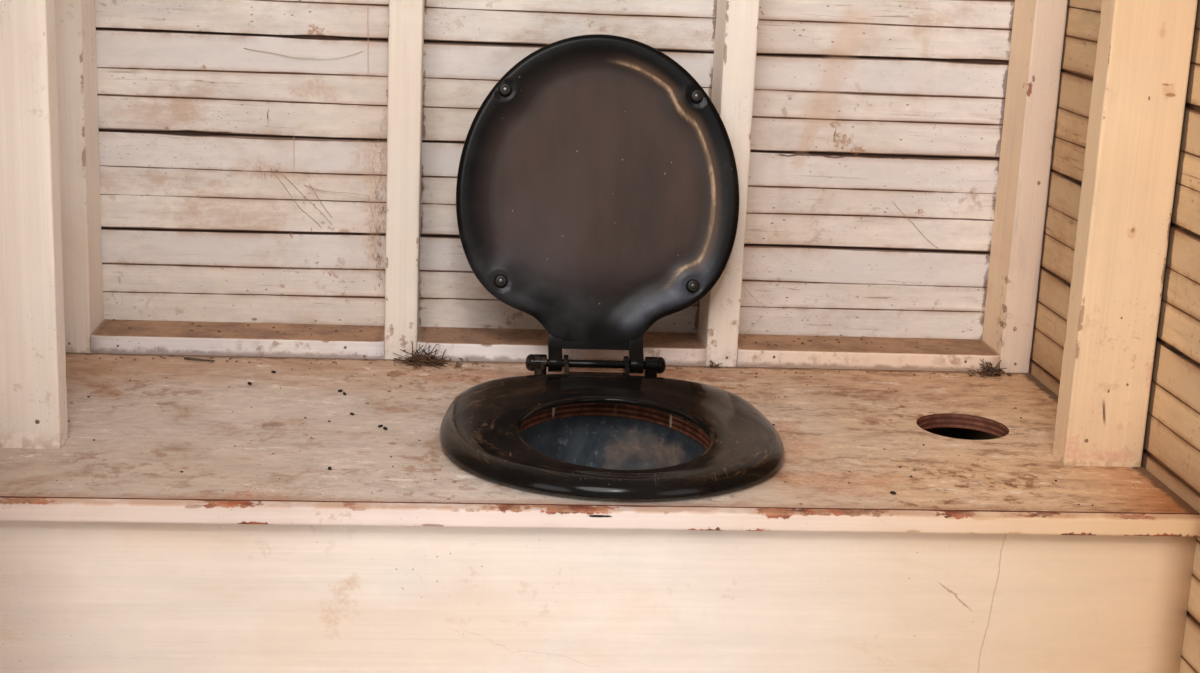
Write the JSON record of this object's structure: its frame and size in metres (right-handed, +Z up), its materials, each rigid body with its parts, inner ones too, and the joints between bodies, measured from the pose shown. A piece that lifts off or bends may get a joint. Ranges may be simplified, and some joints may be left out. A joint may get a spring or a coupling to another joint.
{
  "type": "outhouse seat bay",
  "caption": "Seat end of a wooden outhouse: boarded back and side walls on studs, open front, bench with drop and vent holes, hinged seat ring and raised lid.",
  "frame": {"origin": "middle of the footprint at ground level", "axes": "+Z up, -Y towards the open front, +X to the right when facing the seat from the front"},
  "size_m": [1.364, 1.02, 1.82],
  "materials": {
    "bench_paint": "chipped cream paint",
    "bench_ply": "worn stained plywood",
    "bumper_rubber": "dull",
    "chute_metal": "dusty dark sheet",
    "hinge_black": "glossy",
    "raw_timber": "rough sawn",
    "seat_black": "glossy with brown dust",
    "siding_paint": "worn matt paint",
    "stud_paint": "worn cream paint",
    "trim_paint": "weathered paint"
  },
  "bodies": {
    "bay": {"back_stud_1": "stud_paint", "back_stud_2": "stud_paint", "back_stud_3": "stud_paint", "back_stud_4": "stud_paint", "bench_bearer_back": "raw_timber", "bench_joist_left": "raw_timber", "bench_joist_right": "raw_timber", "bench_ledger_left": "raw_timber", "bench_ledger_right": "raw_timber", "bench_nosing": "bench_paint", "bench_riser": "bench_paint", "bench_top": "bench_ply", "corner_board_back_left": "trim_paint", "corner_board_back_right": "trim_paint", "corner_board_front_left": "trim_paint", "corner_board_front_right": "trim_paint", "corner_board_side_back_left": "trim_paint", "corner_board_side_back_right": "trim_paint", "corner_board_side_front_left": "trim_paint", "corner_board_side_front_right": "trim_paint", "drop_chute": "chute_metal", "front_post_left": "stud_paint", "front_post_right": "stud_paint", "girt_left": "stud_paint", "girt_middle": "stud_paint", "girt_right": "stud_paint", "hinge_post_left": "hinge_black", "hinge_post_right": "hinge_black", "hinge_rod": "hinge_black", "plate_back": "raw_timber", "plate_left": "raw_timber", "plate_right": "raw_timber", "side_stud_left": "stud_paint", "side_stud_right": "stud_paint", "siding_back": "siding_paint", "siding_left": "siding_paint", "siding_right": "siding_paint", "sill_back": "raw_timber", "sill_bench": "raw_timber", "sill_left": "raw_timber", "sill_right": "raw_timber"},
    "seat": {"seat_bumpers": "bumper_rubber", "seat_ring": "seat_black"},
    "lid": {"lid": "seat_black", "lid_bumpers": "bumper_rubber"}
  },
  "joints": [
    {"name": "seat_hinge", "type": "hinge", "parent": "bay", "child": "seat", "pos_m": [0.045, 0.272, 0.468], "axis": [-1, 0, 0], "range_deg": [0, 105]},
    {"name": "lid_hinge", "type": "hinge", "parent": "bay", "child": "lid", "pos_m": [0.045, 0.272, 0.468], "axis": [-1, 0, 0], "range_deg": [-105, 0]}
  ]
}
